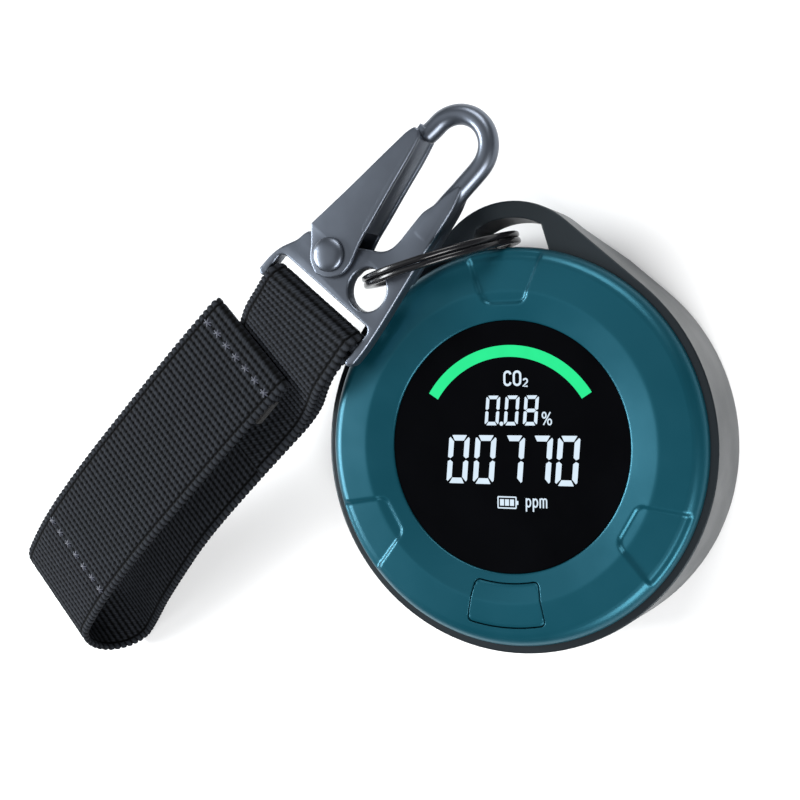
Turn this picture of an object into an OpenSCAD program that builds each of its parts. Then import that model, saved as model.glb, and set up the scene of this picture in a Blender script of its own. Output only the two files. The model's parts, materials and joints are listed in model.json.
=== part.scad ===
// Pocket carbon dioxide monitor on a snap hook lanyard, lying on its back.
// Units are millimetres. The origin is the centre of the back face,
// +Z points out of the display, +Y points to the lug.

/* [Case] */
// Outer radius of the round case
case_radius = 37; // [36.8:0.1:37.4]
// Height of the case's front face
case_height = 18; // [17.9:0.1:18.3]
// Distance from the centre to the top of the lug
lug_reach = 44; // [43.6:0.1:44.4]
// Thickness of the bar above the lug hole
lug_bar = 3; // [2.8:0.1:3.1]

/* [Bezel] */
// Outer radius of the front bezel
bezel_radius = 35.6; // [35.2:0.1:35.8]
// Height of the bezel's crest
bezel_height = 21.15; // [20.9:0.05:21.3]
// Radius of the display window
window_radius = 22.6; // [22.4:0.1:23]
// Depth of the three bezel pockets
pocket_depth = 0.65; // [0.4:0.05:0.9]

/* [Button] */
// Gap around the mode button
button_gap = 0.35; // [0.35:0.05:0.4]

/* [Split ring] */
// Mean radius of the split ring
ring_radius = 14.3; // [14.2:0.05:14.4]
// Width of the ring's wire across the ring's plane
ring_wire = 1.8; // [1.6:0.1:1.9]
// Thickness of one coil of the ring
ring_coil = 1.15; // [1.05:0.05:1.15]

/* [Snap hook] */
// Height of the hook's upper face
hook_top = 25.6; // [25.5:0.1:25.8]
// Thickness of the hook's plate
hook_plate = 2.8; // [2.6:0.1:2.8]
// Radius of the hook's nose rod
nose_rod = 1.9; // [1.8:0.05:1.95]
// Thickness of the gate's sheet
gate_sheet = 1; // [0.8:0.1:1]

/* [Webbing] */
// Width of the webbing
webbing_width = 24; // [23.5:0.1:24.2]
// Thickness of one ply of webbing
webbing_ply = 1.2; // [1.1:0.05:1.2]
// Outer height of the strap's bottom fold
fold_height = 15.2; // [15:0.1:15.4]

/* [Hidden] */
$fn = 96;
tip_radius = 16;
tip_y = lug_reach - tip_radius;
lug_angle = asin((case_radius - tip_radius) / tip_y);
cavity_radius = 33.8;
boss_ring = 30.2;
boss_radius = 2.5;
board_z = 9;
board_top = 10;
lens_z = 18.3;
crest_radius = 27.7;
button_corner = 1.9;
ring_place = [-14.4, 34.47, 15.5];
ring_lean = 9.1;
ring_yaw = 13.3;
hook_place = [-24.4, 29, 0];
hook_yaw = -43.5;
rivet = [-9.7, -0.4];
rod_z = hook_top - nose_rod;
bar_place = [-6.8, -11, 24.2];
bar_slope = 4;
bar_radius = 1.3;
slot_half = 12;
loop_half = 11.7;
strap_slope = -3.7;
flap_shift = -6.2;
fold_s = 91;
fold_tilt = 20;
fold_radius = fold_height / 2;
half_ply = webbing_ply / 2;
fold_middle = fold_radius - half_ply;
fold_end = [fold_middle * sin(fold_tilt), fold_middle * cos(fold_tilt)];
gate_low = hook_top - 4.9;
gate_high = hook_top + 1.6;

// Centre lines of the webbing: distance from the hook's bar, height
tab_line = [[1.2, 24.2], [6, 24.0], [10, 22.6], [15, 19.4], [20, 17.1], [27, 16.4]];
back_line = [
    [27.1, 15.8], [36, 15.6], [50, 14.8], [58, 13.4], [65, 11.3], [72, 8.9], [78, 6.6], [84, 3.6],
    [fold_s - fold_end[0] - 0.05, fold_radius - fold_end[1] + 0.02]
];
flap_line = [
    [15, 22.6], [27, 22.8], [36, 22.6], [50, 21.9], [58, 21.5], [65, 20.9], [72, 20.0],
    [78, 19.0], [85, 17.3], [fold_s + fold_end[0] - 0.5, fold_radius + fold_end[1] + 0.18]
];
patch_thickness = 1.6;
patch_offset = patch_thickness / 2 + 0.01;
loop_patch_line = shifted([[20.3, 17.07], [26.5, 16.45]], webbing_ply + patch_offset);
hook_patch_line = shifted([[20.3, 22.69], [26.5, 22.79]], -half_ply - patch_offset);

// ---------- helpers ----------

// Unit vector from point a to point b
function heading(a, b) = (b - a) / norm(b - a);

// Left-hand normal of a direction
function left_of(d) = [-d[1], d[0]];

// Average normal of an open line at point i
function line_normal(line, i) =
    let (before = line[max(i - 1, 0)], after = line[min(i + 1, len(line) - 1)])
    left_of(heading(before, after));

// An open line moved sideways by a distance
function shifted(line, distance) =
    [for (i = [0 : len(line) - 1]) line[i] + distance * line_normal(line, i)];

// A list in reverse order
function reversed(list) = [for (i = [len(list) - 1 : -1 : 0]) list[i]];

// Corner of a convex anticlockwise outline, moved in by a distance
function inset_corner(points, i, distance) =
    let (
        n = len(points),
        p = points[i],
        into = heading(points[(i + n - 1) % n], p),
        out = heading(p, points[(i + 1) % n]),
        turn = into[0] * out[1] - into[1] * out[0]
    )
    p + distance * (out - into) / turn;

// A convex anticlockwise outline with rounded corners
module rounded_outline(points, radius) {
    n = len(points);
    inner = [for (i = [0 : n - 1]) inset_corner(points, i, radius)];
    polygon([
        for (i = [0 : n - 1])
            for (edge = [i + n - 1, i])
                let (d = heading(points[edge % n], points[(edge + 1) % n]))
                inner[i] - radius * left_of(d)
    ]);
    for (p = inner)
        translate(p)
            circle(radius, $fn = 32);
}

// A flat shape from height low to height high
module slab(low, high) {
    translate([0, 0, low])
        linear_extrude(high - low)
            children();
}

// A round disc or post from height low to height high
module post(radius, low, high) {
    translate([0, 0, low])
        cylinder(h = high - low, r = radius);
}

// A flat ring from height low to height high
module washer(outer, inner, low, high) {
    difference() {
        post(outer, low, high);
        post(inner, low - 1, high + 1);
    }
}

// The four screw posts' places
module at_bosses() {
    for (turn = [45 : 90 : 315])
        rotate([0, 0, turn])
            translate([boss_ring, 0, 0])
                children();
}

// Frame of the snap hook
module in_hook() {
    translate(hook_place)
        rotate([0, 0, hook_yaw])
            children();
}

// Frame of the hook's bar, with X along the bar
module in_bar() {
    in_hook()
        translate(bar_place)
            rotate([0, 0, bar_slope])
                children();
}

// Frame of the strap: -Y runs along the strap, Z is the true height
module in_strap(shift = 0) {
    in_hook()
        translate([bar_place[0], bar_place[1], 0])
            rotate([0, 0, strap_slope])
                translate([shift, 0, 0])
                    children();
}

// A strip of webbing along a centre line of distance and height
module strip(line, width, thickness) {
    outline = concat(shifted(line, thickness / 2), reversed(shifted(line, -thickness / 2)));
    translate([-width / 2, 0, 0])
        rotate([90, 0, 90])
            linear_extrude(width)
                polygon([for (p = outline) [-p[0], p[1]]]);
}

// ---------- case ----------

// The case's outline: a circle that runs into the rounded lug
module case_outline() {
    normal = [cos(lug_angle), sin(lug_angle)];
    circle(case_radius);
    translate([0, tip_y])
        circle(tip_radius);
    polygon([
        case_radius * normal, tip_radius * normal + [0, tip_y],
        [-tip_radius * normal[0], tip_radius * normal[1] + tip_y],
        [-case_radius * normal[0], case_radius * normal[1]]
    ]);
}

// The case's outline as a solid with a bevelled back edge
module case_solid() {
    foot = 1;
    difference() {
        slab(0, case_height)
            case_outline();
        rotate_extrude()
            polygon([
                [case_radius - foot - 0.2, -0.2], [60, -0.2], [60, foot], [case_radius, foot]
            ]);
    }
}

// The sloped underside of the lug
module lug_relief() {
    translate([-40, 0, 0])
        rotate([90, 0, 90])
            linear_extrude(80)
                polygon([[33.4, 0], [39.3, 9.8], [60, 9.8], [60, -5], [33.4, -5]]);
}

// The hole in the lug
module lug_hole() {
    slab(-1, case_height + 1)
        difference() {
            intersection() {
                translate([0, tip_y])
                    circle(tip_radius - lug_bar);
                rounded_outline([[-8.2, 33], [8.2, 33], [5.6, 41.4], [-5.6, 41.4]], 1);
            }
            circle(bezel_radius + 0.1);
        }
}

module case_body() {
    color([0.09, 0.09, 0.1])
        difference() {
            union() {
                difference() {
                    case_solid();
                    post(cavity_radius, 3, case_height + 1);
                    post(31.5, 1.5, 4);
                    post(33.2, -1, 1.6);
                    lug_relief();
                    lug_hole();
                }
                at_bosses()
                    post(boss_radius, 1.6, board_z);
            }
            at_bosses()
                post(0.8, 0, board_z + 1);
            translate([-40, 0, 7.3])
                rotate([0, 90, 0])
                    linear_extrude(10)
                        socket_outline(9.6, 3.8);
        }
}

module rear_cover() {
    color([0.12, 0.12, 0.13])
        difference() {
            post(33.1, 0, 1.35);
            at_bosses()
                post(0.9, -1, 2);
            at_bosses()
                post(1.7, -1, 0.75);
            for (slot = [-2 : 2])
                translate([15.5, slot * 2, 0])
                    slab(-1, 2)
                        square([7, 1], center = true);
        }
}

module cover_screws() {
    color([0.6, 0.6, 0.62])
        at_bosses()
            difference() {
                union() {
                    post(1.6, 0.1, 0.75);
                    post(0.75, 0.7, 4.4);
                }
                post(0.75, 0, 0.5, $fn = 6);
            }
}

module cover_gasket() {
    color([0.2, 0.2, 0.2])
        difference() {
            washer(33.1, 31.6, 1.35, 1.6);
            at_bosses()
                post(boss_radius + 0.05, 1, 2);
        }
}

// ---------- bezel ----------

// The bezel as a full solid of revolution, before windows are cut
module bezel_solid() {
    top = bezel_height;
    rotate_extrude()
        polygon([
            [window_radius, lens_z], [window_radius, top - 1.45], [crest_radius, top],
            [33.4, top - 0.5], [34.1, top - 0.66], [34.7, top - 0.98],
            [35.15, top - 1.44], [35.45, top - 1.98], [bezel_radius, top - 2.55],
            [bezel_radius, case_height], [33.6, case_height], [33.6, 14.6],
            [32.1, 14.6], [32.1, 18.7], [crest_radius, 19.15], [24, 17.3],
            [21, 17.3], [21, lens_z]
        ]);
}

// One side of the pocket, as a slanted half space
module pocket_side(side) {
    mirror([side, 0, 0])
        translate([4.1, crest_radius - 2, bezel_height - 0.9])
            rotate([0, 0, -20.5])
                rotate([0, 45, 0])
                    translate([-30, -20, -15])
                        cube([30, 50, 30]);
}

// The mode button's outline between two arcs, grown by a margin
module button_outline(margin) {
    intersection() {
        difference() {
            circle(32.6 + margin);
            circle(24.5 - margin);
        }
        button_wedge(margin);
    }
}

// The mode button's rounded trapezoid
module button_wedge(margin) {
    g = margin;
    rounded_outline([
        [-7.2 - g, -33.4 - g], [7.2 + g, -33.4 - g],
        [5.35 + g, -23.6 + g], [-5.35 - g, -23.6 + g]
    ], button_corner + g);
}

module front_bezel() {
    color([0.1, 0.33, 0.41])
        difference() {
            bezel_solid();
            for (turn = [0, 120, 240])
                rotate([0, 0, turn])
                    pocket();
            slab(17.2, 25)
                button_outline(button_gap);
            translate([0, 0, 15.7])
                rotate_extrude()
                    translate([32.8, 0])
                        square([2, 1.1]);
        }
}

// A bezel pocket: a tilted floor between two slanted sides
module pocket() {
    intersection() {
        translate([-9, 25.2, bezel_height - 0.55])
            rotate([-4, 0, 0])
                translate([0, 0, 0.1 - pocket_depth + 0.55])
                    cube([18, 12, 4]);
        pocket_side(0);
        pocket_side(1);
    }
}

module bezel_gasket() {
    color([0.15, 0.15, 0.15])
        washer(33.75, 32.85, 15.75, 16.75);
}

module mode_button() {
    color([0.12, 0.37, 0.45])
        union() {
            intersection() {
                bezel_solid();
                slab(lens_z, 25)
                    button_outline(0);
            }
            intersection() {
                slab(lens_z - 0.2, lens_z + 0.8)
                    button_outline(-0.4);
                post(31.9, 10, 25);
            }
            for (side = [-1, 1])
                translate([side * 7, -28.8, lens_z - 0.1])
                    cube([2.8, 2.4, 0.5], center = true);
            translate([0, -28.4, 0])
                post(1.6, 13.5, lens_z + 0.2, $fn = 32);
        }
}

// ---------- display ----------

module display_lens() {
    color([0.02, 0.02, 0.03])
        post(window_radius - 0.1, lens_z, lens_z + 1.2);
}

module display_panel() {
    color([0.16, 0.17, 0.2])
        post(20.6, 16.3, lens_z);
}

module display_holder() {
    color([0.85, 0.85, 0.83])
        union() {
            washer(22.6, 9.5, 15.1, 16.3);
            washer(22.6, 20.8, 16.2, 17.2);
            for (turn = [30 : 60 : 330])
                rotate([0, 0, turn])
                    translate([19.5, 0, 0])
                        post(1.5, board_top, 15.2, $fn = 32);
        }
}

module display_ribbon() {
    color([0.75, 0.45, 0.15])
        union() {
            translate([-4, -1, board_top])
                cube([8, 3, 0.8]);
            translate([-3.5, 0, 16])
                cube([7, 5, 0.3]);
            translate([-3.5, 5, 0])
                rotate([90, 0, 90])
                    linear_extrude(7)
                        translate([0, 13.55])
                            half_ring(2.75, 2.45);
            translate([-3.5, 0.5, board_top + 0.8])
                cube([7, 4.5, 0.3]);
        }
}

// Half of a flat ring, on the +X side
module half_ring(outer, inner) {
    difference() {
        circle(outer, $fn = 48);
        circle(inner, $fn = 48);
        translate([-2 * outer, -outer])
            square([2 * outer, 2 * outer]);
    }
}

// ---------- electronics ----------

module main_board() {
    color([0.05, 0.3, 0.16])
        difference() {
            post(32.4, board_z, board_top);
            at_bosses()
                post(0.9, 8, 11);
        }
}

module board_screws() {
    color([0.7, 0.7, 0.72])
        at_bosses()
            difference() {
                union() {
                    post(1.5, board_top, board_top + 0.9);
                    post(0.75, 5.2, board_top + 0.1);
                }
                post(0.75, board_top + 0.4, 12, $fn = 6);
            }
}

module carbon_dioxide_sensor() {
    color([0.78, 0.74, 0.6])
        difference() {
            translate([8.5, -12, 2.6])
                cube([14, 24, board_z - 2.6]);
            translate([15.5, 0, 0])
                post(2.4, 2, 6, $fn = 48);
        }
}

module sensor_filter() {
    color([0.93, 0.93, 0.93])
        translate([15.5, 0, 0])
            post(6, 1.35, 2.3, $fn = 64);
}

module battery_cell() {
    color([0.72, 0.74, 0.78])
        slab(2.2, 8.4)
            rounded_outline([[-20, -17], [6, -17], [6, 17], [-20, 17]], 1.5);
}

module buzzer() {
    color([0.1, 0.1, 0.1])
        translate([-12, 24.5, 0])
            difference() {
                post(4.2, board_top, board_top + 2.6, $fn = 48);
                post(0.8, board_top + 1.5, 15, $fn = 24);
            }
}

module vibration_motor() {
    color([0.66, 0.66, 0.68])
        translate([26, 3, 0])
            post(4.5, board_top, board_top + 2.7, $fn = 48);
}

// A slot with round ends, lying across X when turned upright
module socket_outline(width, height) {
    square([height, width - height], center = true);
    for (side = [-1, 1])
        translate([0, side * (width - height) / 2])
            circle(height / 2, $fn = 32);
}

module charging_socket() {
    color([0.75, 0.75, 0.77])
        translate([0, 0, 7.3])
            union() {
                difference() {
                    translate([-36.1, 0, 0])
                        rotate([0, 90, 0])
                            linear_extrude(7.3)
                                socket_outline(9, 3.2);
                    translate([-37, 0, 0])
                        rotate([0, 90, 0])
                            linear_extrude(7.2)
                                socket_outline(8.4, 2.6);
                }
                translate([-35.4, -3.35, -0.35])
                    cube([6, 6.7, 0.7]);
            }
}

module button_switch() {
    color([0.2, 0.2, 0.22])
        translate([0, -28.4, 0])
            difference() {
                slab(board_top, 12.4)
                    square([4.6, 4.6], center = true);
                post(1.1, 11, 13, $fn = 32);
            }
}

module switch_plunger() {
    color([0.85, 0.3, 0.2])
        translate([0, -28.4, 0])
            post(1.05, 11.8, 13.5, $fn = 32);
}

// ---------- split ring ----------

// One coil's section: a bar with bevelled corners, centred at height z
function coil_section(z) =
    let (w = ring_wire / 2, h = ring_coil / 2, b = 0.3, r = ring_radius)
    [
        [r - w, z - h + b], [r - w + b, z - h], [r + w - b, z - h], [r + w, z - h + b],
        [r + w, z + h - b], [r + w - b, z + h], [r - w + b, z + h], [r - w, z + h - b]
    ];

module split_ring() {
    color([0.07, 0.07, 0.08])
        translate(ring_place)
            rotate([0, 0, ring_yaw])
                rotate([90 + ring_lean, 0, 0])
                    union() {
                        for (side = [-1, 1])
                            rotate_extrude()
                                polygon(coil_section(side * ring_coil / 2));
                        washer(ring_radius + 0.5, ring_radius - 0.5, -0.3, 0.3);
                    }
}

// ---------- snap hook ----------

module hook_frame() {
    low = hook_top - hook_plate;
    color([0.25, 0.27, 0.3])
        union() {
            in_hook() {
                difference() {
                    slab(low, hook_top)
                        hook_plate_outline();
                    translate([-0.1, -0.5, 0])
                        post(4, 0, 40);
                    translate(rivet)
                        post(1.7, 0, 40);
                }
                slab(hook_top - 2 * nose_rod, hook_top)
                    polygon([
                        [-1, 11], [4.4, 11], [3.5, 20.3], [3.3, 24.6], [3.6, 29.4],
                        [0.4, 29.4], [-0.2, 25.5], [-0.4, 22.7], [-1, 17]
                    ]);
                hook_nose();
                slab(low, hook_top)
                    polygon([[-12.3, 28.6], [-12, 25.4], [-10.7, 25.4], [-10.5, 28.6]]);
            }
            in_bar()
                rotate([0, 90, 0])
                    cylinder(h = 2 * slot_half + 1, r = bar_radius, center = true, $fn = 48);
        }
}

// The hook's plate, with its two arms open at the bottom for the bar
module hook_plate_outline() {
    polygon([
        [-20.7, -12.9], [-20.5, -9.5], [-19.9, -7], [-18.8, -4.9], [-17.9, -3.4],
        [-17.5, -1.5], [-17, -0.4], [-15.2, 0.1], [-13.4, 2.6], [-10, 4],
        [-7, 3.6], [-5.3, 4.9], [-2.6, 6.4], [-1.4, 8], [-1, 10.2], [-1, 17],
        [3.8, 17], [4.4, 11], [5.2, 6], [5.6, 3.1], [6.6, -4], [7.1, -9],
        [7, -11.6], [6.2, -12.4], [5.3, -12.2], [5.3, -6.3], [4.6, -5.5],
        [-17.9, -7.1], [-18.9, -8], [-18.9, -13.2], [-19.8, -13.4]
    ]);
}

// The hook's round nose, from the leg round to the gate's tip
module hook_nose() {
    centre = [-4.2, 29.4];
    reach = 5.9;
    translate([centre[0], centre[1], rod_z]) {
        rotate([0, 0, -2])
            rotate_extrude(angle = 184)
                translate([reach, 0])
                    circle(nose_rod, $fn = 32);
        translate([-reach, 0.1, 0])
            rotate([90, 0, -8])
                cylinder(h = 1.4, r = nose_rod, $fn = 32);
    }
}

module hook_rivet() {
    head = gate_high + 0.1;
    color([0.35, 0.37, 0.4])
        in_hook()
            translate(rivet) {
                post(1.65, gate_low - 0.6, gate_high + 0.6, $fn = 48);
                post(3, gate_low - 0.9, gate_low - 0.1, $fn = 64);
                rotate_extrude($fn = 64)
                    polygon([
                        [0, head], [3.2, head], [3.2, head + 0.25], [2.8, head + 0.7],
                        [2.1, head + 1.05], [1.1, head + 1.25], [0, head + 1.3]
                    ]);
            }
}

// The gate's side outline
module gate_cheek() {
    polygon([
        [-16.7, 1.3], [-14.4, -0.4], [-9.7, -0.4], [-5.3, 0.5], [-5.9, 2.6],
        [-6.7, 5.7], [-7.3, 10.8], [-8.4, 17.6], [-9.2, 23.3], [-10.1, 26.8],
        [-10.9, 27.6], [-11.8, 27.4], [-12.4, 26.2], [-13.4, 20.8], [-14.9, 11.2]
    ]);
    translate(rivet)
        circle(4.5);
}

module hook_gate() {
    t = gate_sheet;
    color([0.3, 0.32, 0.36])
        in_hook()
            union() {
                difference() {
                    union() {
                        slab(gate_high - t, gate_high)
                            gate_cheek();
                        slab(gate_low, gate_low + t)
                            gate_cheek();
                    }
                    translate(rivet)
                        post(1.7, 0, 40, $fn = 48);
                }
                slab(gate_low, gate_high)
                    polygon([
                        [-6.9, 7.4], [-7.3, 10.8], [-8.4, 17.6], [-9.2, 23.3],
                        [-10, 26.6], [-10.1, 27.2], [-10.25, 25], [-9.2 - t, 23.3],
                        [-8.4 - t, 17.6], [-7.3 - t, 10.8], [-6.9 - t, 7.4]
                    ]);
            }
}

// A wire spring between the frame's shoulder and the gate's spine
module gate_spring() {
    color([0.6, 0.6, 0.62])
        in_hook()
            slab(hook_top - 1.9, hook_top - 1.2)
                polygon([
                    [-12.2, 3.9], [-11.6, 3.8], [-11.2, 6.6], [-9.4, 9.6], [-8.6, 12],
                    [-8.9, 12.2], [-10, 10], [-11.8, 7]
                ]);
}

// ---------- webbing ----------

module clip_tab() {
    outer = bar_radius + 0.1 + webbing_ply;
    color([0.08, 0.08, 0.09])
        union() {
            in_bar()
                rotate([0, 90, 0])
                    difference() {
                        cylinder(h = 2 * loop_half, r = outer, center = true, $fn = 64);
                        cylinder(h = 30, r = bar_radius + 0.1, center = true, $fn = 64);
                    }
            difference() {
                in_strap()
                    strip(tab_line, 2 * loop_half, 2 * webbing_ply);
                in_bar()
                    rotate([0, 90, 0])
                        cylinder(h = 30, r = bar_radius + 0.1, center = true, $fn = 64);
            }
        }
}

module strap_back() {
    color([0.09, 0.09, 0.1])
        in_strap()
            strip(back_line, webbing_width, webbing_ply);
}

module strap_fold() {
    w = webbing_width / 2;
    color([0.08, 0.08, 0.09])
        in_strap()
            intersection() {
                translate([-30, -fold_s - 0.05, fold_radius])
                    rotate([90, 0, 90])
                        mirror([1, 0, 0])
                            linear_extrude(60)
                                rotate(-fold_tilt)
                                    half_ring(fold_radius, fold_radius - webbing_ply);
                rotate([90, 0, 0])
                    linear_extrude(fold_s + 20)
                        polygon([
                            [-w, 0], [w, 0],
                            [w + flap_shift, fold_height], [-w + flap_shift, fold_height]
                        ]);
            }
}

module loop_patch() {
    color([0.14, 0.14, 0.15])
        in_strap(flap_shift / 2)
            strip(loop_patch_line, 16, patch_thickness);
}

module strap_flap() {
    color([0.09, 0.09, 0.1])
        in_strap(flap_shift)
            strip(flap_line, webbing_width, webbing_ply);
}

module hook_patch() {
    color([0.14, 0.14, 0.15])
        in_strap(flap_shift / 2)
            strip(hook_patch_line, 16, patch_thickness);
}

case_body();
rear_cover();
cover_screws();
cover_gasket();
front_bezel();
bezel_gasket();
display_lens();
display_panel();
display_holder();
display_ribbon();
main_board();
board_screws();
carbon_dioxide_sensor();
sensor_filter();
battery_cell();
buzzer();
vibration_motor();
charging_socket();
button_switch();
mode_button();
switch_plunger();
split_ring();
hook_frame();
hook_rivet();
hook_gate();
gate_spring();
clip_tab();
strap_back();
strap_fold();
loop_patch();
strap_flap();
hook_patch();
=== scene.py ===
"""Looks of the pocket carbon dioxide monitor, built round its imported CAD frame.

Lengths in this file are millimetres until add_mesh() turns them into metres.
"""

import json
import math

import bmesh
import bpy
import numpy as np
from mathutils import Matrix, Vector
from mathutils.geometry import tessellate_polygon


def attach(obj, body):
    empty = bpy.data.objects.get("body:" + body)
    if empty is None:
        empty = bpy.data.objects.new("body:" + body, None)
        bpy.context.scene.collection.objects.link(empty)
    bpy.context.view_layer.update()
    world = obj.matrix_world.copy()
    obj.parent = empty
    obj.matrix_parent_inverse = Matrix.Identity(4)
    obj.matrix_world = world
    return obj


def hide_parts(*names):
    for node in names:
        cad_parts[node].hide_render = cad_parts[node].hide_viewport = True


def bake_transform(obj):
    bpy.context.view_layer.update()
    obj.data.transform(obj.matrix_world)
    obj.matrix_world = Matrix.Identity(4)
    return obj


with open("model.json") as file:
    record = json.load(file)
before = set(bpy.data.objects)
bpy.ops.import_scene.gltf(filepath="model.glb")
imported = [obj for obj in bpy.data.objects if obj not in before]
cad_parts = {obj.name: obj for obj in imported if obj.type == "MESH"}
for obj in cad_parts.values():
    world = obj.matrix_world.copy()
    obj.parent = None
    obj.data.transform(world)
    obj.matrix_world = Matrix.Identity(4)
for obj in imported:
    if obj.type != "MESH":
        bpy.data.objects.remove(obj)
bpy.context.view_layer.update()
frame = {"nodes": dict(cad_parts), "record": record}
MM = 0.001

# Places taken over from the CAD part
HOOK_ORIGIN = np.array([-24.4, 29.0])
HOOK_YAW = math.radians(-43.5)
HOOK_TOP = 25.6
PLATE_LOW = 22.8
ROD_RADIUS = 1.9
RIVET = np.array([-9.7, -0.4])
GATE_LOW, GATE_HIGH = 20.7, 27.2
BAR_PLACE = np.array([-6.8, -11.0])
BAR_Z = 24.2
BAR_RADIUS = 1.3
BAR_YAW = math.radians(-39.5)
STRAP_YAW = math.radians(-47.2)
RING_CENTRE = np.array([-14.4, 34.47, 15.5])
RING_YAW, RING_LEAN = math.radians(13.3), math.radians(9.1)
RING_RADIUS, RING_WIRE, RING_COIL = 14.3, 1.8, 1.15
FLAP_SHIFT = -6.2
FOLD_S, FOLD_HEIGHT, FOLD_TILT = 91.0, 15.2, math.radians(20)
LENS_TOP = 19.5
BEZEL_TOP, WINDOW_RADIUS, CREST_RADIUS, BEZEL_RADIUS = 21.15, 22.6, 27.7, 35.6

rng = np.random.default_rng(7)


# ---------- meshes ----------


def add_mesh(name, vertices, faces, material, body=None, sharp=40.0):
    """A new object from vertices in millimetres, smooth except at edges sharper than that angle."""
    mesh = bpy.data.meshes.new(name)
    scaled = np.asarray(vertices, float) * MM
    mesh.from_pydata([tuple(v) for v in scaled], [], [tuple(int(i) for i in f) for f in faces])
    mesh.validate()
    mesh.shade_smooth()
    mesh.set_sharp_from_angle(angle=math.radians(sharp))
    mesh.materials.append(material)
    piece = bpy.data.objects.new(name, mesh)
    bpy.context.scene.collection.objects.link(piece)
    if body:
        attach(piece, body)
    return piece


def outward(vertices, faces):
    """The faces, turned over if the closed shape is inside out."""
    v = np.asarray(vertices, float)
    volume = 0.0
    for f in faces:
        for i in range(1, len(f) - 1):
            volume += np.dot(v[f[0]], np.cross(v[f[i]], v[f[i + 1]]))
    return faces if volume > 0 else [tuple(reversed(f)) for f in faces]


def joined(*parts):
    """Several (vertices, faces) as one."""
    vertices, faces, base = [], [], 0
    for v, f in parts:
        v = np.asarray(v, float)
        vertices.append(v)
        faces += [tuple(i + base for i in face) for face in f]
        base += len(v)
    return np.vstack(vertices), faces


def in_hook(points):
    """Points of the hook's own frame, moved to the row's frame."""
    p = np.asarray(points, float)
    c, s = math.cos(HOOK_YAW), math.sin(HOOK_YAW)
    out = p.copy()
    out[:, 0] = HOOK_ORIGIN[0] + c * p[:, 0] - s * p[:, 1]
    out[:, 1] = HOOK_ORIGIN[1] + s * p[:, 0] + c * p[:, 1]
    return out


def filleted(points, radius, steps=6, smooth_below=38.0):
    """A closed outline with its corners rounded; slight corners become one smooth curve."""
    p = np.asarray(points, float)
    out = []
    for i in range(len(p)):
        here, before, after = p[i], p[i - 1], p[(i + 1) % len(p)]
        back, on = before - here, after - here
        lb, lo = np.linalg.norm(back), np.linalg.norm(on)
        back, on = back / lb, on / lo
        turn = math.pi - math.acos(max(-1, min(1, float(back @ on))))
        reach = 0.49 * min(lb, lo)
        if turn > math.radians(smooth_below):
            reach = min(reach, radius * math.tan(turn / 2))
        a, b = here + back * reach, here + on * reach
        for k in range(steps + 1):
            t = k / steps
            out.append((1 - t) ** 2 * a + 2 * t * (1 - t) * here + t * t * b)
    kept = [out[0]]
    for q in out[1:]:
        if np.linalg.norm(q - kept[-1]) > 0.03:
            kept.append(q)
    if np.linalg.norm(kept[0] - kept[-1]) <= 0.03:
        kept.pop()
    return np.array(kept)


def anticlockwise(loop):
    x, y = loop[:, 0], loop[:, 1]
    area = float((x * np.roll(y, -1) - y * np.roll(x, -1)).sum())
    return loop if area > 0 else loop[::-1]


def ring_of(x, y, radius, count=64):
    a = np.linspace(0, 2 * math.pi, count, endpoint=False)
    return np.stack([x + radius * np.cos(a), y + radius * np.sin(a)], 1)


def inset(loop, distance):
    """The loop moved to its left by a distance."""
    ahead = np.roll(loop, -1, 0) - loop
    ahead /= np.linalg.norm(ahead, axis=1)[:, None]
    left = np.stack([-ahead[:, 1], ahead[:, 0]], 1)
    normal = left + np.roll(left, 1, 0)
    normal /= np.linalg.norm(normal, axis=1)[:, None]
    stretch = np.clip((normal * left).sum(1), 0.5, 1)
    return loop + normal * (distance / stretch)[:, None]


def plate(outer, holes, low, high, bevel, steps=3):
    """A flat stamped plate with rounded edges, as (vertices, faces)."""
    loops = [anticlockwise(np.asarray(outer, float))]
    loops += [anticlockwise(np.asarray(h, float))[::-1] for h in holes]
    profile = []
    for k in range(steps + 1):
        a = k / steps * math.pi / 2
        profile.append((bevel * (1 - math.sin(a)), low + bevel * (1 - math.cos(a))))
    profile += [(d, high - (z - low)) for d, z in reversed(profile)]
    vertices, faces, base = [], [], 0
    caps = []
    for loop in loops:
        n = len(loop)
        for d, z in profile:
            q = inset(loop, d)
            vertices.append(np.column_stack([q, np.full(n, z)]))
        for r in range(len(profile) - 1):
            for i in range(n):
                a, b = base + r * n + i, base + r * n + (i + 1) % n
                faces.append((a, b, b + n, a + n))
        caps.append((base, base + (len(profile) - 1) * n, n, inset(loop, bevel)))
        base += n * len(profile)
    polygons = [[Vector((x, y, 0)) for x, y in c[3]] for c in caps]
    low_index = [c[0] + i for c in caps for i in range(c[2])]
    high_index = [c[1] + i for c in caps for i in range(c[2])]
    flat = [v for poly in polygons for v in poly]
    for tri in tessellate_polygon(polygons):
        a, b, c = (flat[i] for i in tri)
        up = (b - a).cross(c - a).z > 0
        t = tri if up else tuple(reversed(tri))
        faces.append(tuple(high_index[i] for i in t))
        faces.append(tuple(low_index[i] for i in reversed(t)))
    return np.vstack(vertices), faces


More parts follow.
